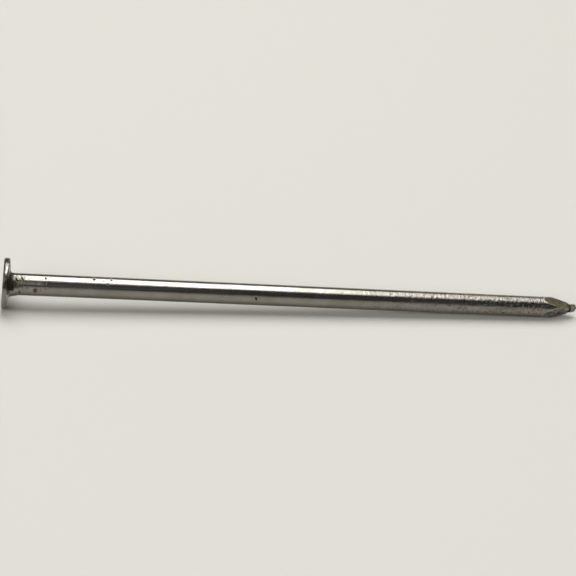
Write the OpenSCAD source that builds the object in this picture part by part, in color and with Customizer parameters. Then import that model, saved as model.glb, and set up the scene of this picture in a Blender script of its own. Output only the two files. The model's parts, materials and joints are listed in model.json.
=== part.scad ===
// A plain round wire nail with a flat head, lying on its side.
//
// It is one piece of steel wire. One end is upset cold into the head while two
// dies grip the wire, and the other end is pinched to a four-sided point.
// The centre of the flat strike face is the origin, the shank runs along +X
// to the point, and +Z is up.

/* [Shank] */
// Length from under the head to the end of the point
shank_length = 101.6; // [40:0.1:160]
// Diameter of the wire
wire_d = 3.76; // [2.5:0.01:5.5]

/* [Head] */
// Diameter of the head
head_d = 8.7; // [7:0.1:14]
// Thickness of the head at its rim, with the corners left sharp
rim_thickness = 0.87; // [0.7:0.01:2]
// Radius that rounds both corners of the rim
rim_radius = 0.3; // [0.05:0.01:0.34]
// Slope of the head's conical underside
underside_slope = 8.5; // [0:0.5:15]
// Radius of the fillet between the underside and the shank
neck_fillet = 0.5; // [0.1:0.05:0.6]

/* [Grip marks] */
// Number of die teeth that bit into each side of the wire
grip_count = 5; // [1:1:12]
// Distance from one tooth mark to the next
grip_pitch = 0.5; // [0.3:0.05:1]
// Depth of a tooth mark
grip_depth = 0.1; // [0.02:0.01:0.2]
// Plain wire between the neck fillet and the first tooth mark
grip_gap = 0.4; // [0.2:0.1:2]
// Lean of the tooth marks across the wire
grip_lean = 25; // [-30:1:30]

/* [Point] */
// Slope of each of the four facets to the axis
facet_slope = 12.4; // [8:0.2:20]
// Angle between the two facets that meet at a side ridge
ridge_angle = 80; // [70:1:110]
// Turn of the nail about its shank: how far the front ridge lies above level
lie_turn = 32; // [0:1:90]
// Height of the blunt end across its upper and lower ridges
tip_height = 1.05; // [0.6:0.05:1.4]
// Length of the nib that the pinching cutters leave beyond their groove
nib_length = 1.3; // [0.5:0.05:2]
// Depth of the groove behind the nib
pinch_depth = 0.12; // [0.02:0.01:0.2]

/* [Hidden] */
$fn = 96;

wire_r = wire_d / 2;
head_r = head_d / 2;
steel = [0.60, 0.59, 0.56];

// Underside of the head, as distance from the strike face at radius r
function underside(r) = rim_thickness + (head_r - r) * tan(underside_slope);
under_head = underside(wire_r);
tip_x = under_head + shank_length;

// Centre of the neck fillet, which touches the underside and the wire
fillet_r = wire_r + neck_fillet;
fillet_x = underside(fillet_r) + neck_fillet / cos(underside_slope);

// Centre of the rim's lower rounding, which touches the rim and the underside
lower_round_x = underside(head_r - rim_radius) - rim_radius / cos(underside_slope);

// The upper and lower facets lean this far either way from straight up or down
facet_turn = ridge_angle / 2;
// The four facet planes would meet at one apex, this far beyond the blunt end
apex_gap = tip_height / 2 * cos(facet_turn) / tan(facet_slope);
apex_x = tip_x + apex_gap;

first_grip_x = fillet_x + grip_gap;

// Half section of the head: a rounded rim, a conical underside and the neck's hollow fillet
module head_section() {
    touch_r = fillet_r - neck_fillet * sin(underside_slope);
    difference() {
        union() {
            polygon([
                [0, 0],
                [head_r - rim_radius, 0],
                [head_r - rim_radius, rim_radius],
                [head_r, rim_radius],
                [head_r, lower_round_x],
                [head_r - rim_radius, lower_round_x],
                [head_r - rim_radius * (1 - sin(underside_slope)),
                    lower_round_x + rim_radius * cos(underside_slope)],
                [touch_r, underside(touch_r)],
                [fillet_r, fillet_x],
                [0, fillet_x]
            ]);
            translate([head_r - rim_radius, rim_radius]) circle(rim_radius);
            translate([head_r - rim_radius, lower_round_x]) circle(rim_radius);
        }
        translate([fillet_r, fillet_x]) circle(neck_fillet);
    }
}

// The head with its neck, turned about the nail's axis
module head() {
    rotate([0, 90, 0]) rotate_extrude() head_section();
}

module wire() {
    rotate([0, 90, 0]) cylinder(h = tip_x, r = wire_r);
}

// A bar of square section along Y with one edge sunk to the given depth below Z = 0
module v_cutter(depth, width) {
    side = depth * sqrt(2);
    rotate([0, 45, 0]) cube([side, width, side], center = true);
}

// The tooth marks of the two dies that held the wire, one set in front and one behind
module grip_marks() {
    for (side = [90, 270], i = [0:grip_count - 1])
        rotate([side - lie_turn, 0, 0])
            translate([first_grip_x + i * grip_pitch, 0, wire_r])
                rotate([0, 0, grip_lean]) v_cutter(grip_depth, wire_d);
}

// Places children on each facet plane, with X running along the facet from the apex
module on_facets() {
    for (turn = [facet_turn, 180 - facet_turn, 180 + facet_turn, -facet_turn])
        translate([apex_x, 0, 0])
            rotate([turn - lie_turn, 0, 0])
                rotate([0, facet_slope, 0]) children();
}

// What the pointing cutters take away: four flat facets and the groove behind the nib
module point_cuts() {
    reach = (wire_r / tan(facet_slope) + wire_d) / cos(facet_slope);
    groove_at = (apex_gap + nib_length) / cos(facet_slope);
    on_facets() translate([-reach, -wire_d, 0]) cube([reach + wire_d, 2 * wire_d, wire_d]);
    on_facets() translate([-groove_at, 0, 0]) v_cutter(pinch_depth, wire_d);
}

module nail() {
    color(steel)
    difference() {
        union() {
            head();
            wire();
        }
        grip_marks();
        point_cuts();
    }
}

nail();
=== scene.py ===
# %% [markdown]
# # A round wire nail
#
# This nail is one piece of drawn steel wire. A machine grips the wire between two toothed dies, strikes
# its end into a flat head, feeds it on, and pinches it off to a four-sided point. Every mark on it comes
# from those steps or from handling, so the script makes the nail in the same order.
#
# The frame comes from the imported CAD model: the centre of the strike face is the origin, and the shank
# runs along +X. Everything is in metres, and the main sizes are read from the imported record.

# %% Load the frame and read the nail's sizes
import json
import math
from functools import partial

import bmesh
import bpy
import numpy as np
from mathutils import Matrix, Vector


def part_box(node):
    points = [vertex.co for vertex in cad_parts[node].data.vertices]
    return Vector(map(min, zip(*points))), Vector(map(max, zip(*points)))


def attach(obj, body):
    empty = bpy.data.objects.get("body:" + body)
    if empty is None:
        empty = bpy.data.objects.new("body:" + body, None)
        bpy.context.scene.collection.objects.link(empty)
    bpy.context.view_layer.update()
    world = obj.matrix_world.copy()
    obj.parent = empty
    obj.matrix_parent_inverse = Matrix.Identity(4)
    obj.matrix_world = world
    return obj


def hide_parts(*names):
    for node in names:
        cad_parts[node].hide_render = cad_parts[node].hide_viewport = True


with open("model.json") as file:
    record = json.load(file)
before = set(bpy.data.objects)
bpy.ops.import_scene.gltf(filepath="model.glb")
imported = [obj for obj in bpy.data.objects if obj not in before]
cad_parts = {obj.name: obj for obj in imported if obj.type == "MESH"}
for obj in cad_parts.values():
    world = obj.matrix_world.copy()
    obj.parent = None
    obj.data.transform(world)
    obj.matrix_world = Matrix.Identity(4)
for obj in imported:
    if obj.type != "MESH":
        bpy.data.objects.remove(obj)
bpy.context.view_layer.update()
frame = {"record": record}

mm = 0.001
mounts = {m["name"]: m for m in frame["record"]["mounts"]}
wire_r = mounts["shank"]["dims"]["r_mm"] * mm
head_r = mounts["head_seat"]["dims"]["r_mm"] * mm
under_head = mounts["head_seat"]["pos_m"][0]
tip_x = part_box("nail")[1].x
print(f"wire {2 * wire_r / mm:.2f} mm, head {2 * head_r / mm:.2f} mm, length {tip_x / mm:.1f} mm")

# %% [markdown]
# ## One helper for every node tree
#
# Geometry trees and material trees are both built from nodes, settings and links. One function adds a
# node, sets what it is told, links each input that is given another node's output, and returns the new
# node's first output. The other outputs are reached through `.node.outputs`.


# %% Add a node with its settings and links, and name the kinds that are used most
def add(tree, kind, links=None, **settings):
    node = tree.nodes.new(kind)
    for name, value in settings.items():
        setattr(node, name, value)
    for key, value in (links or {}).items():
        if isinstance(value, bpy.types.NodeSocket):
            tree.links.new(value, node.inputs[key])
        else:
            node.inputs[key].default_value = value
    return node.outputs[0] if node.outputs else node


MATH = "ShaderNodeMath"
VECTOR = "ShaderNodeVectorMath"
RANGE = "ShaderNodeMapRange"
NOISE = "ShaderNodeTexNoise"
MIX = "ShaderNodeMix"
# A range with this added runs from full to nothing
FADE = {"To Min": 1.0, "To Max": 0.0}


# %% Turn a hex colour into the linear values that shaders use
def linear(hex_colour):
    parts = [int(hex_colour[i : i + 2], 16) / 255 for i in (0, 2, 4)]
    return [c / 12.92 if c <= 0.04045 else ((c + 0.055) / 1.055) ** 2.4 for c in parts] + [1.0]


# %% [markdown]
# ## The turned shape
#
# Head, neck and shank are round, so half of their outline, swung about the axis, gives them all. It could
# be a curve with a Screw modifier, but then the facets and tooth marks would need cutting afterwards, and
# cuts leave long thin triangles that spoil a polished surface. Here a flat grid is wrapped round the axis
# instead: one direction of the grid follows the outline, the other goes round. The facets, the tooth
# marks and the dents are then only rules for how far each grid point stays from the axis.
#
# The nail is made with its four ridges facing front, back, up and down, and turned to how it lies at the
# end. The outline is six points with three rounded corners: both edges of the rim, and the neck.

# %% Sizes of the turned shape
shape_sizes = {
    "Head radius": head_r,
    "Wire radius": wire_r,
    "Under head": under_head,
    "Tip": tip_x,
    "Underside slope": math.radians(8.5),
    "Rim outer rounding": 0.34 * mm,
    "Rim inner rounding": 0.26 * mm,
    "Neck fillet": 0.5 * mm,
    "Facet slope": math.radians(12.4),
    "Facet lean": math.radians(40),
    "Tip half height": 0.525 * mm,
    "Nib half height": 0.74 * mm,
    "Edge softness": 0.09 * mm,
    "Nib length": 1.30 * mm,
    "Pinch depth": 0.18 * mm,
    "First tooth": 2.65 * mm,
    "Tooth pitch": 0.52 * mm,
    "Tooth depth": 0.12 * mm,
    "Tooth lean": math.radians(27),
    "Head lean": math.radians(1.6),
    "Neck flare": 0.26 * mm,
}
shape_counts = {"Teeth": 3, "Rings": 960, "Sides": 96, "Seed": 4}

# %% Start the geometry tree and its named inputs
tree = bpy.data.node_groups.new("turned_nail", "GeometryNodeTree")
tree.interface.new_socket("Geometry", in_out="OUTPUT", socket_type="NodeSocketGeometry")
for name in shape_sizes:
    tree.interface.new_socket(name, in_out="INPUT", socket_type="NodeSocketFloat")
for name in shape_counts:
    tree.interface.new_socket(name, in_out="INPUT", socket_type="NodeSocketInt")
tree.interface.new_socket("Steel", in_out="INPUT", socket_type="NodeSocketMaterial")
given = tree.nodes.new("NodeGroupInput").outputs
shape = partial(add, tree)
print(f"the tree takes {len(given) - 1} inputs")

# %% Half of the outline, as a line of six points with rounded corners
slope_rise = shape(MATH, {0: given["Underside slope"]}, operation="TANGENT")
overhang = shape(MATH, {0: given["Head radius"], 1: given["Wire radius"]}, operation="SUBTRACT")
cone_depth = shape(MATH, {0: overhang, 1: slope_rise}, operation="MULTIPLY")
rim = shape(MATH, {0: given["Under head"], 1: cone_depth}, operation="SUBTRACT")
corners = [
    {},
    {"Y": given["Head radius"]},
    {"X": rim, "Y": given["Head radius"]},
    {"X": given["Under head"], "Y": given["Wire radius"]},
    {"X": given["Tip"], "Y": given["Wire radius"]},
    {"X": given["Tip"]},
]
roundings = {1: given["Rim outer rounding"], 2: given["Rim inner rounding"], 3: given["Neck fillet"]}
which = shape("GeometryNodeInputIndex")
place = shape("GeometryNodeIndexSwitch", {"Index": which}, data_type="VECTOR")
radius = shape("GeometryNodeIndexSwitch", {"Index": which}, data_type="FLOAT")
for i in range(len(corners)):
    if i > 1:
        place.node.index_switch_items.new()
        radius.node.index_switch_items.new()
    tree.links.new(shape("ShaderNodeCombineXYZ", corners[i]), place.node.inputs[str(i)])
    if i in roundings:
        tree.links.new(roundings[i], radius.node.inputs[str(i)])
dots = shape("GeometryNodeMeshLine", {"Count": len(corners)})
dots = shape("GeometryNodeSetPosition", {"Geometry": dots, "Position": place})
outline = shape("GeometryNodeMeshToCurve", {"Mesh": dots})
outline = shape(
    "GeometryNodeFilletCurve",
    {"Curve": outline, "Count": 12, "Radius": radius, "Limit Radius": True},
    mode="POLY",
)

# %% [markdown]
# ## Rings where the detail is
#
# The shank is long and plain, and the head and the point are small and busy. If the rings were evenly
# spaced, most of them would be spent on the plain part. Three straight ranges share them out: each one
# says which part of the grid covers which stretch of the outline.

# %% Share the rings between the head, the shank and the point
busy_head, busy_point = 16 * mm, 11 * mm
head_share, point_share = 0.28, 0.22
total = shape("GeometryNodeCurveLength", {"Curve": outline})
plain = shape(MATH, {0: total, 1: busy_head + busy_point}, operation="SUBTRACT")
around = shape("FunctionNodeIntegerMath", {0: given["Sides"], 1: 1}, operation="ADD")
grid = shape(
    "GeometryNodeMeshGrid",
    {"Size X": 1.0, "Size Y": 1.0, "Vertices X": given["Rings"], "Vertices Y": around},
)
flat = shape(VECTOR, {0: shape("GeometryNodeInputPosition"), 1: (0.5, 0.5, 0.0)}, operation="ADD")
flat = shape("ShaderNodeSeparateXYZ", {0: flat}).node.outputs
stretches = [
    (0.0, head_share, busy_head),
    (head_share, 1 - point_share, plain),
    (1 - point_share, 1.0, busy_point),
]
reached = 0.0
for start, end, length in stretches:
    part = shape(RANGE, {"Value": flat["X"], "From Min": start, "From Max": end, "To Max": length})
    reached = shape(MATH, {0: reached, 1: part}, operation="ADD")
on_outline = shape("GeometryNodeSampleCurve", {"Curves": outline, "Length": reached}, mode="LENGTH")
on_outline = shape("ShaderNodeSeparateXYZ", {0: on_outline.node.outputs["Position"]}).node.outputs
along, round_r = on_outline["X"], on_outline["Y"]

# %% Which way each grid point faces: `front` and `top` go from -1 to 1
turn = shape(MATH, {0: flat["Y"], 1: math.tau}, operation="MULTIPLY")
front = shape(MATH, {0: turn}, operation="COSINE")
top = shape(MATH, {0: turn}, operation="SINE")
sideways = shape(MATH, {0: front}, operation="ABSOLUTE")
below = shape(RANGE, {"Value": top, "From Min": 0.0, "From Max": -1.0})

# %% [markdown]
# ## The four facets of the point
#
# Two cutters pinch the wire and leave four flat facets, which meet in ridges at the front, the back, the
# top and the bottom. A flat facet is a plane, and a plane limits how far from the axis a point may be:
# its distance from the axis, divided by the cosine of the angle to the facet. A smooth minimum takes the
# smaller of the round wire and that limit, and leaves the edge between them slightly soft, as pinching
# does.
#
# The cutters bite again behind the very end and leave a groove there, and a small blunt nib beyond it.

# %% How far each of the four planes lets the surface stand from the axis
facet_waver = 0.10 * mm
lean_cos = shape(MATH, {0: given["Facet lean"]}, operation="COSINE")
lean_sin = shape(MATH, {0: given["Facet lean"]}, operation="SINE")
facet_rise = shape(MATH, {0: given["Facet slope"]}, operation="TANGENT")
tip_plane = shape(MATH, {0: given["Tip half height"], 1: lean_cos}, operation="MULTIPLY")
to_tip = shape(MATH, {0: given["Tip"], 1: along}, operation="SUBTRACT")
plane = shape(MATH, {0: to_tip, 1: facet_rise, 2: tip_plane}, operation="MULTIPLY_ADD")
rough_spot = shape("ShaderNodeCombineXYZ", {"X": along, "Y": front, "Z": top})
bumps = (900.0, 1.6, 1.6)
rough_spot = shape(VECTOR, {0: rough_spot, 1: bumps}, operation="MULTIPLY")
uneven = shape(NOISE, {"Vector": rough_spot, "W": given["Seed"], "Detail": 2.0}, noise_dimensions="4D")
uneven = shape(MATH, {0: uneven, 1: 0.5}, operation="SUBTRACT")
plane = shape(MATH, {0: uneven, 1: facet_waver, 2: plane}, operation="MULTIPLY_ADD")
side_part = shape(MATH, {0: sideways, 1: lean_sin}, operation="MULTIPLY")
up_part = shape(MATH, {0: top}, operation="ABSOLUTE")
towards = shape(MATH, {0: up_part, 1: lean_cos, 2: side_part}, operation="MULTIPLY_ADD")
limit = shape(MATH, {0: plane, 1: towards}, operation="DIVIDE")

# %% The nib: level on top, cut off at its end, with the groove of the pinch behind it
groove_waver, groove_half_width = 0.9 * mm, 0.30 * mm
snip_length, snip_depth = 0.22 * mm, 0.16 * mm
facet_edge_reach = 0.045 * mm
nib_start = shape(MATH, {0: given["Tip"], 1: given["Nib length"]}, operation="SUBTRACT")
crooked = shape(MATH, {0: uneven, 1: groove_waver, 2: along}, operation="MULTIPLY_ADD")
past_groove = shape(MATH, {0: crooked, 1: nib_start}, operation="SUBTRACT")
on_nib = shape(RANGE, {"Value": past_groove, "From Max": 0.15 * mm})
above = shape(RANGE, {"Value": top, "From Min": -0.1, "From Max": 0.1})
on_nib = shape(MATH, {0: on_nib, 1: above}, operation="MULTIPLY")
level = shape(MATH, {0: given["Nib half height"], 1: lean_cos}, operation="MULTIPLY")
level = shape(MATH, {0: level, 1: towards}, operation="DIVIDE")
limit = shape(MIX, {"Factor": on_nib, "A": limit, "B": level}).node.outputs["Result"]
snipped = shape(RANGE, {"Value": to_tip, "From Max": snip_length, "To Min": -snip_depth, "To Max": 0.0})
limit = shape(MATH, {0: limit, 1: snipped}, operation="ADD")
off_groove = shape(MATH, {0: past_groove}, operation="ABSOLUTE")
pinch = shape(RANGE, {"Value": off_groove, "From Max": groove_half_width, **FADE})
pinched = shape(MATH, {0: pinch, 1: given["Pinch depth"]}, operation="MULTIPLY")
limit = shape(MATH, {0: limit, 1: pinched}, operation="SUBTRACT")
cut_r = shape(MATH, {0: round_r, 1: limit, 2: given["Edge softness"]}, operation="SMOOTH_MIN")
cut_away = shape(MATH, {0: given["Wire radius"], 1: limit}, operation="SUBTRACT")
sheared = shape(RANGE, {"Value": cut_away, "From Min": -0.01 * mm, "From Max": 0.05 * mm})
# A thin band along the edge where a facet begins; the finish paints a glint along it
from_edge = shape(MATH, {0: cut_away}, operation="ABSOLUTE")
burr = shape(RANGE, {"Value": from_edge, "From Max": facet_edge_reach, **FADE})
print(f"nib {shape_sizes['Nib length'] / mm} mm long, groove {2 * groove_half_width / mm:.1f} mm wide")

# %% [markdown]
# ## The tooth marks under the head
#
# The gripping dies have rows of teeth, and each tooth leaves a shallow groove across the wire, in front
# and behind. They repeat at one pitch, so one triangle wave along the wire gives them all. Windows keep
# the wave to the stretch that the teeth held, to the front and the back, and to the wire's upper half,
# where they bit. Noise makes some teeth bite deeper, because the wire is never quite round in the dies.

# %% Grooves from a triangle wave, kept to where the teeth held the wire
height = shape(MATH, {0: top, 1: round_r}, operation="MULTIPLY")
tooth_tan = shape(MATH, {0: given["Tooth lean"]}, operation="TANGENT")
slanted = shape(MATH, {0: height, 1: tooth_tan, 2: along}, operation="MULTIPLY_ADD")
from_first = shape(MATH, {0: slanted, 1: given["First tooth"]}, operation="SUBTRACT")
phase = shape(MATH, {0: from_first, 1: given["Tooth pitch"]}, operation="DIVIDE")
wave = shape(MATH, {0: phase, 1: 0.5}, operation="PINGPONG")
groove = shape(RANGE, {"Value": wave, "From Max": 0.30, **FADE})
begun = shape(MATH, {0: phase, 1: -0.5}, operation="GREATER_THAN")
last = shape(MATH, {0: given["Teeth"], 1: 0.5}, operation="SUBTRACT")
not_over = shape(MATH, {0: phase, 1: last}, operation="LESS_THAN")
held = shape(
    RANGE, {"Value": sideways, "From Min": 0.60, "From Max": 0.92}, interpolation_type="SMOOTHSTEP"
)
bite_spot = shape("ShaderNodeCombineXYZ", {"X": along, "Y": front, "Z": height})
bite_spot = shape(VECTOR, {0: bite_spot, 1: (1000.0, 1.0, 1000.0)}, operation="MULTIPLY")
bite = shape(
    NOISE,
    {"Vector": bite_spot, "W": given["Seed"], "Scale": 1.1, "Detail": 1.0},
    noise_dimensions="4D",
)
bite = shape(RANGE, {"Value": bite, "From Min": 0.38, "From Max": 0.58})
tooth_marks = given["Tooth depth"]
in_teeth = shape(RANGE, {"Value": height, "From Min": 0.25 * mm, "From Max": 0.60 * mm})
for share in (groove, begun, not_over, held, in_teeth, bite):
    tooth_marks = shape(MATH, {0: tooth_marks, 1: share}, operation="MULTIPLY")
print(f"{shape_counts['Teeth']} teeth in front and behind, {shape_sizes['Tooth pitch'] / mm} mm apart")

# %% [markdown]
# ## Nicks and dents
#
# A loose nail knocks against others, so it carries a few clear nicks and many faint dents. The clear ones
# are listed one by one, each as an ellipse on the front of the wire with its own depth and lean. The faint
# ones are scattered: points are spread over the wire at random with a fixed seed, and each grid point sinks
# a little if one of them is near.

# %% Nicks listed one by one, in mm: place along, height, half size along, half size up, depth, lean
nicks = [
    (7.10, 1.16, 0.22, 0.36, 0.070, 0.3),
    (7.15, 0.30, 0.16, 0.26, 0.020, 0.0),
    (7.15, -0.66, 0.14, 0.30, 0.045, 0.0),
    (9.30, 1.35, 0.14, 0.18, 0.030, 0.0),
    (12.6, 1.60, 0.26, 0.22, 0.050, 0.0),
    (15.2, 1.38, 0.30, 0.36, 0.100, 0.0),
    (16.8, 1.15, 0.20, 0.30, 0.040, 0.2),
    (17.4, 0.55, 0.24, 0.24, 0.040, 0.0),
    (18.1, 1.36, 0.26, 0.30, 0.070, 0.0),
    (43.1, -0.72, 0.24, 0.46, 0.120, 0.3),
    (67.5, 1.10, 0.22, 0.32, 0.040, 0.2),
    (71.3, 0.95, 0.20, 0.32, 0.030, 0.0),
    (79.8, 1.10, 0.20, 0.36, 0.040, 0.2),
    (81.2, 1.20, 0.20, 0.32, 0.040, -0.2),
]
in_front = shape(MATH, {0: front, 1: 0.0}, operation="GREATER_THAN")
nicked = 0.0
for nick_x, nick_z, half_along, half_up, depth, lean in nicks:
    up = shape(MATH, {0: height, 1: nick_z * mm}, operation="SUBTRACT")
    off = shape(MATH, {0: along, 1: nick_x * mm}, operation="SUBTRACT")
    off = shape(MATH, {0: up, 1: lean, 2: off}, operation="MULTIPLY_ADD")
    reach = shape("ShaderNodeCombineXYZ", {"X": off, "Y": up})
    shares = (1 / (half_along * mm), 1 / (half_up * mm), 0)
    reach = shape(VECTOR, {0: reach, 1: shares}, operation="MULTIPLY")
    reach = shape(VECTOR, {0: reach}, operation="LENGTH").node.outputs["Value"]
    sunk = shape(
        RANGE,
        {"Value": reach, "From Max": 1.0, "To Min": depth * mm, "To Max": 0.0},
        interpolation_type="SMOOTHSTEP",
    )
    nicked = shape(MATH, {0: nicked, 1: sunk}, operation="ADD")
nicked = shape(MATH, {0: nicked, 1: in_front}, operation="MULTIPLY")
print(f"{len(nicks)} nicks placed by hand")

# %% [markdown]
# ## One radius for every grid point
#
# The cut, the tooth marks and the nicks all change how far a grid point stands from the axis, so they are
# put together here. Two more things come in: the neck is fuller below, where the blow pushed more steel, and
# the rim of the head is not quite round. The same depths also say where the steel is painted dark: partly
# dirt that stays in the hollows, partly painted shade in them.

# %% Put the rules together: how far each grid point stands from the axis
flare_end = {"From Min": 1.2 * mm, "From Max": 3.0 * mm, "To Min": given["Neck flare"], "To Max": 0.0}
neck_flare = shape(RANGE, {"Value": along, **flare_end}, interpolation_type="SMOOTHSTEP")
neck_end = {"From Min": 2.2 * mm, "From Max": 3.8 * mm, **FADE}
on_neck = shape(RANGE, {"Value": round_r, **neck_end})
past_face = shape(MATH, {0: along, 1: 0.4 * mm}, operation="GREATER_THAN")
for share in (on_neck, past_face, below):
    neck_flare = shape(MATH, {0: neck_flare, 1: share}, operation="MULTIPLY")
final_r = shape(MATH, {0: cut_r, 1: neck_flare}, operation="ADD")
final_r = shape(MATH, {0: final_r, 1: tooth_marks}, operation="SUBTRACT")
final_r = shape(MATH, {0: final_r, 1: nicked}, operation="SUBTRACT")
rim_waver = 0.14 * mm
at_rim = shape(
    RANGE, {"Value": round_r, "From Min": 3 * mm, "From Max": given["Head radius"], "To Max": rim_waver}
)
final_r = shape(MATH, {0: uneven, 1: at_rim, 2: final_r}, operation="MULTIPLY_ADD")

# %% Dirt and painted shade: in the nicks, in the tooth marks, in the pinch groove and on the nib
# This darkening is partly dirt in the hollows and partly painted shade
torn_reach = {"From Min": 0.1 * mm, "From Max": 0.6 * mm, "To Min": 0.8, "To Max": 0.0}
torn_end = shape(RANGE, {"Value": to_tip, **torn_reach})
grime = shape(MATH, {0: pinch, 1: 2.6, 2: torn_end}, operation="MULTIPLY_ADD")
grime = shape(MATH, {0: on_nib, 1: 0.3, 2: grime}, operation="MULTIPLY_ADD")
for hollow, full_depth in ((nicked, 0.05 * mm), (tooth_marks, 0.07 * mm)):
    grime = shape(MATH, {0: hollow, 1: 1 / full_depth, 2: grime}, operation="MULTIPLY_ADD")

# %% [markdown]
# ## The head's lean
#
# The blow that heads a nail is never quite square. This head leans 1.6 degrees towards the point at the
# top, and is thinner at the bottom, where less steel flowed. A shear along the shank, which fades out
# behind the neck, gives the lean and leaves the shank straight.

# %% Lean the head, and make it thicker at the top than at the bottom
up_r = shape(MATH, {0: top, 1: final_r}, operation="MULTIPLY")
fade = shape(
    RANGE,
    {"Value": along, "From Min": given["Under head"], "From Max": 4 * mm, **FADE},
    interpolation_type="SMOOTHSTEP",
)
lean_tan = shape(MATH, {0: given["Head lean"]}, operation="TANGENT")
lean = shape(MATH, {0: up_r, 1: lean_tan}, operation="MULTIPLY")
lean = shape(MATH, {0: lean, 1: fade}, operation="MULTIPLY")
on_head = shape(
    RANGE, {"Value": round_r, "From Min": given["Wire radius"], "From Max": given["Head radius"]}
)
thicker = shape(RANGE, {"Value": top, "From Min": -1.0, "To Min": -0.28, "To Max": 0.14})
stretch = shape(MATH, {0: on_head, 1: thicker, 2: 1.0}, operation="MULTIPLY_ADD")
final_x = shape(MATH, {0: along, 1: stretch, 2: lean}, operation="MULTIPLY_ADD")

# %% A dent in the snipped end, where the last thread of steel tore away
torn_radius, torn_depth = 0.34 * mm, 0.16 * mm
front_r = shape(MATH, {0: front, 1: final_r}, operation="MULTIPLY")
torn = shape("ShaderNodeCombineXYZ", {"X": along, "Y": front_r, "Z": up_r})
torn_place = shape("ShaderNodeCombineXYZ", {"X": given["Tip"], "Y": 0.22 * mm, "Z": 0.05 * mm})
torn = shape(VECTOR, {0: torn, 1: torn_place}, operation="DISTANCE").node.outputs["Value"]
torn = shape(
    RANGE,
    {"Value": torn, "From Max": torn_radius, "To Min": torn_depth, "To Max": 0.0},
    interpolation_type="SMOOTHSTEP",
)
final_x = shape(MATH, {0: final_x, 1: torn}, operation="SUBTRACT")

# %% Wrap the grid round the axis, and close its seam and its ends
back_r = shape(MATH, {0: front_r, 1: -1.0}, operation="MULTIPLY")
wrapped = shape("ShaderNodeCombineXYZ", {"X": final_x, "Y": back_r, "Z": up_r})
shell = grid
for name, share in (("sheared", sheared), ("burr", burr), ("grime", grime)):
    shell = shape(
        "GeometryNodeStoreNamedAttribute",
        {"Geometry": shell, "Name": name, "Value": share},
        data_type="FLOAT",
        domain="POINT",
    )
shell = shape("GeometryNodeSetPosition", {"Geometry": shell, "Position": wrapped})
shell = shape("GeometryNodeMergeByDistance", {"Geometry": shell, "Distance": 0.0005 * mm})

# %% Sink the faint dents, and give the nail its material
dents_per_m2 = 70000.0
dent_radius, dent_depth = 0.45 * mm, 0.012 * mm
dent_marks = shape(
    "GeometryNodeDistributePointsOnFaces",
    {"Mesh": shell, "Density": dents_per_m2, "Seed": given["Seed"]},
)
near = shape("GeometryNodeProximity", {0: dent_marks}, target_element="POINTS").node.outputs["Distance"]
dent = shape(
    RANGE,
    {"Value": near, "From Max": dent_radius, "To Min": -dent_depth, "To Max": 0.0},
    interpolation_type="SMOOTHSTEP",
)
outward = shape("GeometryNodeInputNormal")
push = shape(VECTOR, {0: outward, "Scale": dent}, operation="SCALE")
shell = shape("GeometryNodeSetPosition", {"Geometry": shell, "Offset": push})
shell = shape("GeometryNodeSetShadeSmooth", {"Geometry": shell})
shell = shape("GeometryNodeRealizeInstances", {"Geometry": shell})
shell = shape("GeometryNodeSetMaterial", {"Geometry": shell, "Material": given["Steel"]})
shape("NodeGroupOutput", {"Geometry": shell})
print(f"the tree has {len(tree.nodes)} nodes")

# %% [markdown]
# ## Bright drawn steel
#
# The wire is low-carbon steel, pulled cold through a die. That leaves it bright, with hair-fine lines
# along its length, and a film of drawing soap that greys it. It has no coating, so it is a bare metal:
# metallic 1 and a default IOR, with the colour of steel under a thin film. The roughness says how crisp
# the reflections are, and most of what the eye reads as steel is the reflected light and dark.
#
# The patterns read the nail's own coordinates in millimetres, turned back to how the nail was made, so
# that `z` is the height up the front of the wire.

# %% Coordinates for the finish
lie_angle = math.radians(32)
steel = bpy.data.materials.new("bright_drawn_low_carbon_steel")
steel.use_nodes = True
steel.node_tree.nodes.clear()
coat = partial(add, steel.node_tree)
own = coat("ShaderNodeTexCoord").node.outputs["Object"]
own = coat("ShaderNodeVectorRotate", {"Vector": own, "Angle": lie_angle}, rotation_type="X_AXIS")
own = coat(VECTOR, {0: own, 1: (1000, 1000, 1000)}, operation="MULTIPLY")
x, y, z = coat("ShaderNodeSeparateXYZ", {0: own}).node.outputs
attributes = {}
for name in ("sheared", "burr", "grime"):
    attributes[name] = coat("ShaderNodeAttribute", attribute_name=name).node.outputs["Fac"]
sheared, burr, grime = attributes.values()
print(f"finish reads {', '.join(attributes)} from the shape, and places in mm from the nail's own axes")

# %% [markdown]
# ### What the drawing die leaves
#
# The die scratches hair-fine lines along the wire, which stretch the reflections lengthwise. Real ones lie
# a few hundredths of a millimetre apart. These are coarser, about 0.1 mm, because finer ones would vanish
# at the distance this nail is seen from. The drawing soap dries in soft clouds, a little browner here and
# there.

# %% Drawing lines, and clouds in the film
line_place = coat(VECTOR, {0: own, 1: (0.05, 4.0, 4.0)}, operation="MULTIPLY")
lines = coat(NOISE, {"Vector": line_place, "Scale": 2.0, "Detail": 3.0})
cloud = coat(NOISE, {"Vector": own, "Scale": 0.35, "Detail": 5.0, "Roughness": 0.6})
warm = coat(NOISE, {"Vector": own, "Scale": 0.5, "Detail": 1.0})
warm = coat(RANGE, {"Value": warm, "From Min": 0.52, "From Max": 0.72, "To Max": 0.1})

# %% [markdown]
# ### Scuffs that grow towards the point
#
# The machine feeds and grips the wire at that end, so it carries small ribs across the wire, scuffs and
# a few dark pits. They break up the bright band, while the steel between them stays as smooth as the
# rest. The flecks are stretched across the wire, as the rubbing was.

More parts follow.
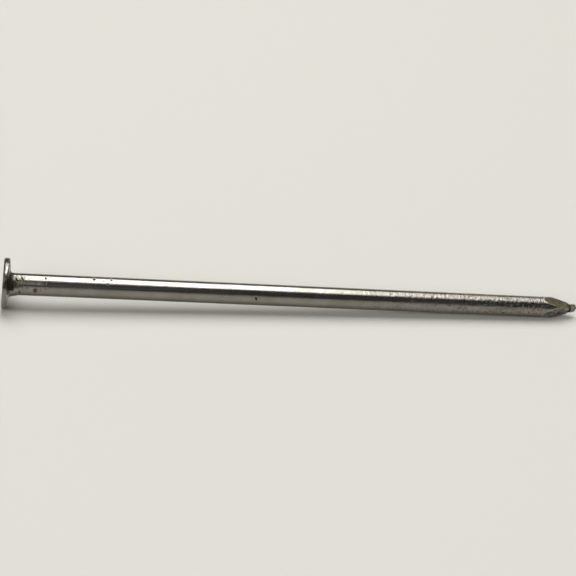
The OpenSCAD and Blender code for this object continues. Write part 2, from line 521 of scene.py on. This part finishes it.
# %% Ribs, scuffs and pits
pointwards = coat(RANGE, {"Value": x, "From Min": 56.0, "From Max": 90.0})
cross_place = coat(VECTOR, {0: own, 1: (2.3, 0.5, 0.5)}, operation="MULTIPLY")
across = coat(NOISE, {"Vector": cross_place, "Scale": 1.0, "Detail": 2.0})
fleck_place = coat(VECTOR, {0: own, 1: (2.0, 0.8, 0.8)}, operation="MULTIPLY")
flecks = coat(NOISE, {"Vector": fleck_place, "Scale": 1.0, "Detail": 1.5, "Roughness": 0.5})
rub_place = coat(VECTOR, {0: own, 1: (4.0, 1.3, 1.3)}, operation="MULTIPLY")
rubs = coat(NOISE, {"Vector": rub_place, "Scale": 1.0, "Detail": 2.0})
scuff = coat(RANGE, {"Value": rubs, "From Min": 0.47, "From Max": 0.60})
scuff = coat(MATH, {0: scuff, 1: pointwards}, operation="MULTIPLY")
scuff_dirt = coat(MATH, {0: scuff, 1: 0.45}, operation="MULTIPLY")
pits = coat(NOISE, {"Vector": own, "Scale": 2.6, "Detail": 0.0})
pits = coat(RANGE, {"Value": pits, "From Min": 0.70, "From Max": 0.76})
pits = coat(MATH, {0: pits, 1: pointwards}, operation="MULTIPLY")

# %% [markdown]
# ### Painted shade on the neck, and the forged rim
#
# The corner under the head is darkened with painted shade. The patch is a distance from one spot on the
# neck, with noise added so that its edge is ragged, and a thinner ring of it runs round the fillet. The edge
# of the head was never drawn through a die, so it is duller and rougher than the wire, and so is the stretch
# that the die's teeth bit.

# %% Painted shade on the neck
neck_far = coat(VECTOR, {0: own, 1: (1.25, 0.0, -0.05)}, operation="SUBTRACT")
neck_far = coat(VECTOR, {0: neck_far, 1: (0.80, 0.0, 1.0)}, operation="MULTIPLY")
neck_far = coat(VECTOR, {0: neck_far}, operation="LENGTH").node.outputs["Value"]
neck_far = coat(MATH, {0: cloud, 1: 1.6, 2: neck_far}, operation="MULTIPLY_ADD")
neck_far = coat(MATH, {0: flecks, 1: 1.2, 2: neck_far}, operation="MULTIPLY_ADD")
patch = coat(RANGE, {"Value": neck_far, "From Min": 2.25, "From Max": 2.70, **FADE})
ring_far = coat(MATH, {0: x, 1: 1.5}, operation="SUBTRACT")
ring_far = coat(MATH, {0: ring_far}, operation="ABSOLUTE")
ring_far = coat(MATH, {0: cloud, 1: 0.5, 2: ring_far}, operation="MULTIPLY_ADD")
ring = coat(RANGE, {"Value": ring_far, "From Min": 0.52, "From Max": 0.75, "To Min": 0.9, "To Max": 0.0})
on_top = coat(RANGE, {"Value": z, "From Min": -1.3, "From Max": -0.6})
ring = coat(MATH, {0: ring, 1: on_top}, operation="MULTIPLY")
# This darkening is painted shade in the corner under the head
neck_painted_shade = coat(MATH, {0: patch, 1: ring}, operation="MAXIMUM")

# %% The forged head, and the stretch that the teeth bit
rim_far = coat(VECTOR, {0: own, 1: (0, 1, 1)}, operation="MULTIPLY")
rim_far = coat(VECTOR, {0: rim_far}, operation="LENGTH").node.outputs["Value"]
forged = coat(RANGE, {"Value": rim_far, "From Min": 2.3, "From Max": 3.0})
bitten = coat(RANGE, {"Value": flecks, "From Min": 0.45, "From Max": 0.55})
bitten_x = coat(RANGE, {"Value": x, "From Min": 3.9, "From Max": 4.6, **FADE})
bitten_z = coat(RANGE, {"Value": z, "From Min": -0.9, "From Max": -0.6})
for share in (bitten_x, bitten_z):
    bitten = coat(MATH, {0: bitten, 1: share}, operation="MULTIPLY")
bitten_dirt = coat(MATH, {0: bitten, 1: 0.7}, operation="MULTIPLY")
gripped = coat(RANGE, {"Value": x, "From Min": 6.2, "From Max": 7.6, **FADE})
grip_far = coat(MATH, {0: z, 1: 0.29}, operation="SUBTRACT")
grip_far = coat(MATH, {0: grip_far}, operation="ABSOLUTE")
grip_band = coat(RANGE, {"Value": grip_far, "From Min": 0.16, "From Max": 0.30, **FADE})
gripped = coat(MATH, {0: gripped, 1: grip_band}, operation="MULTIPLY")

# %% [markdown]
# ### The cut facets
#
# The cutters smear the steel, so the facets are duller than the wire, with a coarse grain along them. The
# upper pair is tinted olive: partly a cutting-oil stain, partly a painted warm reflection. Along the edge
# where a facet begins, a pale line, broken in places, is a painted glint, and it draws the outline of the
# facet.

# %% Olive tint with painted reflection, grain, and the painted edge glint
# The olive on the upper pair is partly an oil stain and partly a painted warm reflection
upper = coat(RANGE, {"Value": z, "From Min": -0.05, "From Max": 0.25})
upper_cut = coat(MATH, {0: upper, 1: sheared}, operation="MULTIPLY")
grain_place = coat(VECTOR, {0: own, 1: (1.4, 5.0, 5.0)}, operation="MULTIPLY")
grain = coat(NOISE, {"Vector": grain_place, "Scale": 1.0, "Detail": 2.0})
grain = coat(RANGE, {"Value": grain, "From Min": 0.42, "From Max": 0.60, "To Max": 0.6})
cut_grain = coat(MATH, {0: grain, 1: sheared}, operation="MULTIPLY")
# The pale line along the facet edges is a painted glint, broken in places
edge_glint_strength = coat(RANGE, {"Value": flecks, "From Min": 0.40, "From Max": 0.55, "To Min": 0.5})
painted_edge_glint = coat(MATH, {0: edge_glint_strength, 1: burr}, operation="MULTIPLY")

# %% [markdown]
# ### Spots of rust and dirt, and painted light
#
# Bare steel rusts where a finger or a drop of water touched it. A spot has a dark core and a paler rim, so
# each one is the same ragged distance cut off at two radii. The core of the first spot is rusted through the
# surface, so it is the one place that is rough and no longer metal. Some spots are plain dirt, beside the
# teeth. The spot on the top of the head's rim is a painted dark reflection, and the one on the end of the
# nib is a dark patch. The last is the other way round: a pale patch near the tip, which is a painted
# highlight.

# %% Spots, in mm: place along, height, radius, colour of the rim, colour of the core
spots = [
    (5.45, -0.92, 0.42, "6E4E48", "2E1E1C"),
    # Painted dark reflection on the top of the head's rim
    (0.40, 4.35, 0.70, "4A4842", "24221F"),
    (2.90, -1.35, 0.20, "625E50", "48443A"),
    (7.05, -0.70, 0.10, "6A665E", "45413A"),
    (6.25, -0.80, 0.20, "7A625A", "5E453F"),
    (99.3, -1.00, 0.30, "6A5850", "3A2622"),
    # A dark patch on the end of the nib
    (102.8, 0.10, 0.50, "4A443A", "1E1B18"),
    # Painted highlight: a pale patch near the tip
    (100.7, -0.2, 0.30, "5C5340", "A8A294"),
]
front_place = coat("ShaderNodeCombineXYZ", {"X": x, "Z": z})
on_front = coat(MATH, {0: y, 1: 0.0}, operation="LESS_THAN")
spot_layers = []
for spot_x, spot_z, spot_r, rim_colour, core_colour in spots:
    far = coat(VECTOR, {0: front_place, 1: (spot_x, 0, spot_z)}, operation="DISTANCE")
    far = coat(MATH, {0: flecks, 1: 0.9, 2: far.node.outputs["Value"]}, operation="MULTIPLY_ADD")
    for reach, most, layer_colour in ((0.56, 0.45, rim_colour), (0.40, 1.0, core_colour)):
        end = spot_r + reach
        inside = {"From Min": end - 0.2, "From Max": end, "To Min": most, "To Max": 0.0}
        share = coat(RANGE, {"Value": far, **inside})
        share = coat(MATH, {0: share, 1: on_front}, operation="MULTIPLY")
        spot_layers.append((share, layer_colour))
rust = spot_layers[1][0]
print(f"{len(spots)} spots")

# %% [markdown]
# ### The colour, layer over layer
#
# The steel starts as a mix of clean metal and metal under the soap film. Each layer is then laid over what
# is there, in this order: the forged head, the painted shade on the neck, the cuts with their painted edge
# glint, the dirt and painted shade in the hollows, then the spots of rust, dirt and painted light.

# %% Mix the colour
clean = linear("8B8882")
filmed = linear("827E76")
tone = coat(RANGE, {"Value": cloud, "From Min": 0.42, "From Max": 0.65})
colour = coat(MIX, {"Factor": tone, "A": clean, "B": filmed}, data_type="RGBA").node.outputs["Result"]
layers = [
    (warm, "8C7A70"),
    (forged, "85817A"),
    # Painted shade in the corner under the head
    (neck_painted_shade, "2A2823"),
    (sheared, "989190"),
    # Olive: partly oil stain, partly painted warm reflection
    (upper_cut, "67634E"),
    (cut_grain, "3A352B"),
    # Painted glint along the facet edges
    (painted_edge_glint, "D2CCBC"),
    (bitten_dirt, "4A4638"),
    (scuff_dirt, "3E3B35"),
    (pits, "2B2824"),
    # Partly dirt, partly painted shade in the hollows and on the nib
    (grime, "2B2824"),
]
# The layers are real stains together with painted shade and painted highlight
for share, layer_colour in layers + spot_layers:
    layered = coat(MIX, {"Factor": share, "A": colour, "B": linear(layer_colour)}, data_type="RGBA")
    colour = layered.node.outputs["Result"]
print(f"{len(layers) + len(spot_layers)} stains over the clean steel")

# %% [markdown]
# ### How rough each part is
#
# The drawn wire is smooth enough to show crisp bands of light and dark. Everything that was bitten, cut or
# soiled scatters more, and that blurs the bands there.

# %% Add up the roughness
rough = coat(RANGE, {"Value": lines, "From Min": 0.3, "From Max": 0.7, "To Min": 0.17, "To Max": 0.25})
rougher = [
    (gripped, 0.09),
    (bitten, 0.10),
    (forged, 0.02),
    (scuff, 0.05),
    (sheared, 0.08),
    (burr, 0.15),
    (neck_painted_shade, 0.2),
    (grime, 0.2),
    (rust, 0.35),
]
for share, more in rougher:
    rough = coat(MATH, {0: share, 1: more, 2: rough}, operation="MULTIPLY_ADD")

# %% Fine relief, and the shader
relief = coat(MATH, {0: scuff, 1: -3.0, 2: lines}, operation="MULTIPLY_ADD")
ribbed = coat(RANGE, {"Value": x, "From Min": 58.0, "From Max": 80.0, "To Min": 0.5, "To Max": 11.0})
ribbed = coat(MATH, {0: across, 1: ribbed}, operation="MULTIPLY")
relief = coat(MATH, {0: relief, 1: ribbed}, operation="ADD")
relief_height = 0.02 * mm
bump = coat("ShaderNodeBump", {"Strength": 0.35, "Distance": relief_height, "Height": relief})
metal = coat(MATH, {0: 1.0, 1: rust}, operation="SUBTRACT")
shader = coat(
    "ShaderNodeBsdfPrincipled",
    {"Base Color": colour, "Metallic": metal, "Roughness": rough, "Normal": bump},
)
coat("ShaderNodeOutputMaterial", {"Surface": shader})
print(f"the finish has {len(steel.node_tree.nodes)} nodes")

# %% [markdown]
# ## Grow the nail
#
# An empty object carries the tree for a moment. The evaluated result becomes a plain mesh, so nothing
# after this depends on the modifier. A closed surface that faces outward has a positive volume and no
# open edge, and the print shows both.

# %% Grow the nail from the tree, as a plain mesh
seedling = bpy.data.objects.new("seedling", bpy.data.meshes.new("seedling"))
bpy.context.scene.collection.objects.link(seedling)
modifier = seedling.modifiers.new("turned nail", "NODES")
modifier.node_group = tree
identifiers = {s.name: s.identifier for s in tree.interface.items_tree if s.in_out == "INPUT"}
for name, value in {**shape_sizes, **shape_counts, "Steel": steel}.items():
    modifier[identifiers[name]] = value
grown = seedling.evaluated_get(bpy.context.evaluated_depsgraph_get())
mesh = bpy.data.meshes.new_from_object(grown)
bpy.data.objects.remove(seedling)
nail = bpy.data.objects.new("wire_nail", mesh)
bpy.context.scene.collection.objects.link(nail)
solid = bmesh.new()
solid.from_mesh(mesh)
print(f"{len(mesh.vertices)} points, {sum(len(p.vertices) - 2 for p in mesh.polygons)} triangles")
open_edges = sum(e.is_boundary for e in solid.edges)
print(f"{solid.calc_volume(signed=True) / mm**3:.1f} mm3, {open_edges} open edges")
solid.free()

# %% Turn the nail to how it lies
mesh.transform(Matrix.Rotation(-lie_angle, 4, "X"))
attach(nail, "root")
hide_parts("nail")

# %% [markdown]
# ## A pale floor
#
# The nail can't lie level: its head is wider than its shank, so it rests on the head's rim and on a spot
# near the point. The nail stays on its own axes, and the floor is tilted under it by that small angle.
# The floor is matt paper that curves up into a low wall all round, so that no view shows its edge, and
# the lower half of the steel has something even and pale to reflect.

# %% The floor
coords = np.empty(len(mesh.vertices) * 3)
mesh.vertices.foreach_get("co", coords)
coords = coords.reshape(-1, 3)
foot = coords[coords[:, 2].argmin()]
beyond = coords[coords[:, 0] > 20 * mm]
floor_rise = ((beyond[:, 2] - foot[2]) / (beyond[:, 0] - foot[0])).min()
print(f"the nail rests on its rim and near its point, on a floor that rises {floor_rise:.4f}")

bowl = bmesh.new()
floor_r, wall_bend, wall_height = 0.75, 0.20, 0.245
outline_points = [(0.0, 0.0), (0.06, 0.0), (0.2, 0.0), (0.45, 0.0), (floor_r, 0.0)]
for i in range(1, 13):
    bend = math.radians(85) * i / 12
    outline_points.append((floor_r + wall_bend * math.sin(bend), wall_bend * (1 - math.cos(bend))))
outline_points.append((outline_points[-1][0] + 0.01, wall_height))
ring_verts = [bowl.verts.new((r, 0.0, h)) for r, h in outline_points]
edges = [bowl.edges.new(pair) for pair in zip(ring_verts, ring_verts[1:])]
bmesh.ops.spin(
    bowl,
    geom=ring_verts + edges,
    cent=(0, 0, 0),
    axis=(0, 0, 1),
    angle=math.tau,
    steps=96,
    use_merge=True,
)
bmesh.ops.remove_doubles(bowl, verts=bowl.verts, dist=1e-5)
bmesh.ops.recalc_face_normals(bowl, faces=bowl.faces)
floor_mesh = bpy.data.meshes.new("floor")
bowl.to_mesh(floor_mesh)
bowl.free()
floor_mesh.transform(Matrix.Rotation(-math.atan(floor_rise), 4, "Y"))
floor_mesh.transform(Matrix.Translation(Vector(foot)))
floor_mesh.shade_smooth()
floor = bpy.data.objects.new("floor", floor_mesh)
bpy.context.scene.collection.objects.link(floor)
paper = bpy.data.materials.new("matt_white_paper")
paper.use_nodes = True
paper.node_tree.nodes["Principled BSDF"].inputs["Base Color"].default_value = linear("B7B5AF")
paper.node_tree.nodes["Principled BSDF"].inputs["Roughness"].default_value = 0.9
paper.node_tree.nodes["Principled BSDF"].inputs["Specular IOR Level"].default_value = 0.1
floor_mesh.materials.append(paper)

# %% [markdown]
# ## Soft light
#
# Polished steel shows its surroundings, so the lights are laid out as the camera sees them. One wide
# softbox overhead draws the long bright band along the top of the shank. It fades towards the point,
# which the strips at its right-hand end do. The gap between the softbox and the floor is left dark, and
# it gives the black band in the middle. A narrow strip catches the edges of the facets, a dim warm wall
# tints the upper facet, and a fill from the left, which the shank can't reflect, lightens the shadow.

# %% The lights
world = bpy.data.worlds.new("dim_room")
world.use_nodes = True
world.node_tree.nodes["Background"].inputs["Color"].default_value = linear("FFFFFF")
world.node_tree.nodes["Background"].inputs["Strength"].default_value = 0.06
bpy.context.scene.world = world


def soft_light(name, direction, distance, size_x, size_y, brightness, offset=0.0, colour="FFFFFF"):
    """A rectangular light of the given brightness, facing the nail's head from a direction."""
    lamp = bpy.data.lights.new(name, "AREA")
    lamp.shape = "RECTANGLE"
    lamp.size, lamp.size_y = size_x, size_y
    lamp.energy = brightness * math.pi * size_x * size_y
    lamp.color = linear(colour)[:3]
    light = bpy.data.objects.new(name, lamp)
    away = Vector(direction).normalized()
    side = (Vector((1, 0, 0)) - away * away.x).normalized()
    turned = Matrix((side, away.cross(side), away)).transposed().to_4x4()
    light.matrix_world = Matrix.Translation(away * distance + side * offset) @ turned
    bpy.context.scene.collection.objects.link(light)
    print(f"{name}: {size_x} x {size_y} m, brightness {brightness}")
    return light


# Directions as the camera sees them: to the right, away, and up
as_seen = Matrix.Rotation(-lie_angle, 3, "X")
above_sight = math.radians(75)
overhead = as_seen @ Vector((0, -math.cos(above_sight), math.sin(above_sight)))
soft_light("softbox", overhead, 1.2, 0.86, 1.28, 5.6, offset=-0.07)
for i, brightness in enumerate((3.3, 1.8, 1.0, 0.55, 0.3)):
    soft_light(f"softbox_edge_{i}", overhead, 1.2, 0.06, 1.28, brightness, offset=0.39 + 0.06 * i)
soft_light("warm_wall", as_seen @ Vector((0.62, 0.30, 0.72)), 1.3, 0.7, 0.7, 0.40, colour="FFE09A")
soft_light("side_strip", as_seen @ Vector((0.53, -0.12, 0.84)), 1.2, 0.09, 0.95, 6.0)
soft_light("front_fill", Vector((-0.62, -0.72, 0.52)), 1.4, 1.3, 0.55, 7.0)

# %% [markdown]
# ## The camera
#
# The camera is level with the head along the shank and looks down at the nail, close enough that the
# point is seen a little from the side and the head edge-on. The nail fills the width of the frame and
# drops slightly to the right, so the camera is rolled by the slope that is left.

# %% The camera
view_distance, view_lens = 0.237, 86.28
aim_turn, aim_up = math.radians(11.684), 1.38 * mm
camera_data = bpy.data.cameras.new("camera")
camera_data.lens = view_lens
camera_data.clip_start = 0.01
camera = bpy.data.objects.new("camera", camera_data)
bpy.context.scene.collection.objects.link(camera)
camera.location = as_seen @ Vector((0, -view_distance, 0))
aim = as_seen @ Vector((view_distance * math.tan(aim_turn), 0, aim_up))
camera.rotation_mode = "QUATERNION"
camera.rotation_quaternion = (aim - camera.location).to_track_quat("-Z", "Y")
bpy.context.view_layer.update()
to_camera = camera.matrix_world.inverted()
ends = [to_camera @ Vector((end, 0, 0)) for end in (0, tip_x)]
ends = [Vector((p.x / -p.z, p.y / -p.z)) for p in ends]
run = ends[1] - ends[0]
drop = math.radians(2.5)
roll = math.atan2(run.y, run.x) + drop
camera.rotation_quaternion = camera.rotation_quaternion @ Matrix.Rotation(roll, 3, "Z").to_quaternion()
bpy.context.scene.camera = camera
print(f"camera {view_distance / mm:.0f} mm from the head, {math.degrees(lie_angle):.0f} degrees above level")
bpy.context.scene.view_settings.view_transform = "Standard"
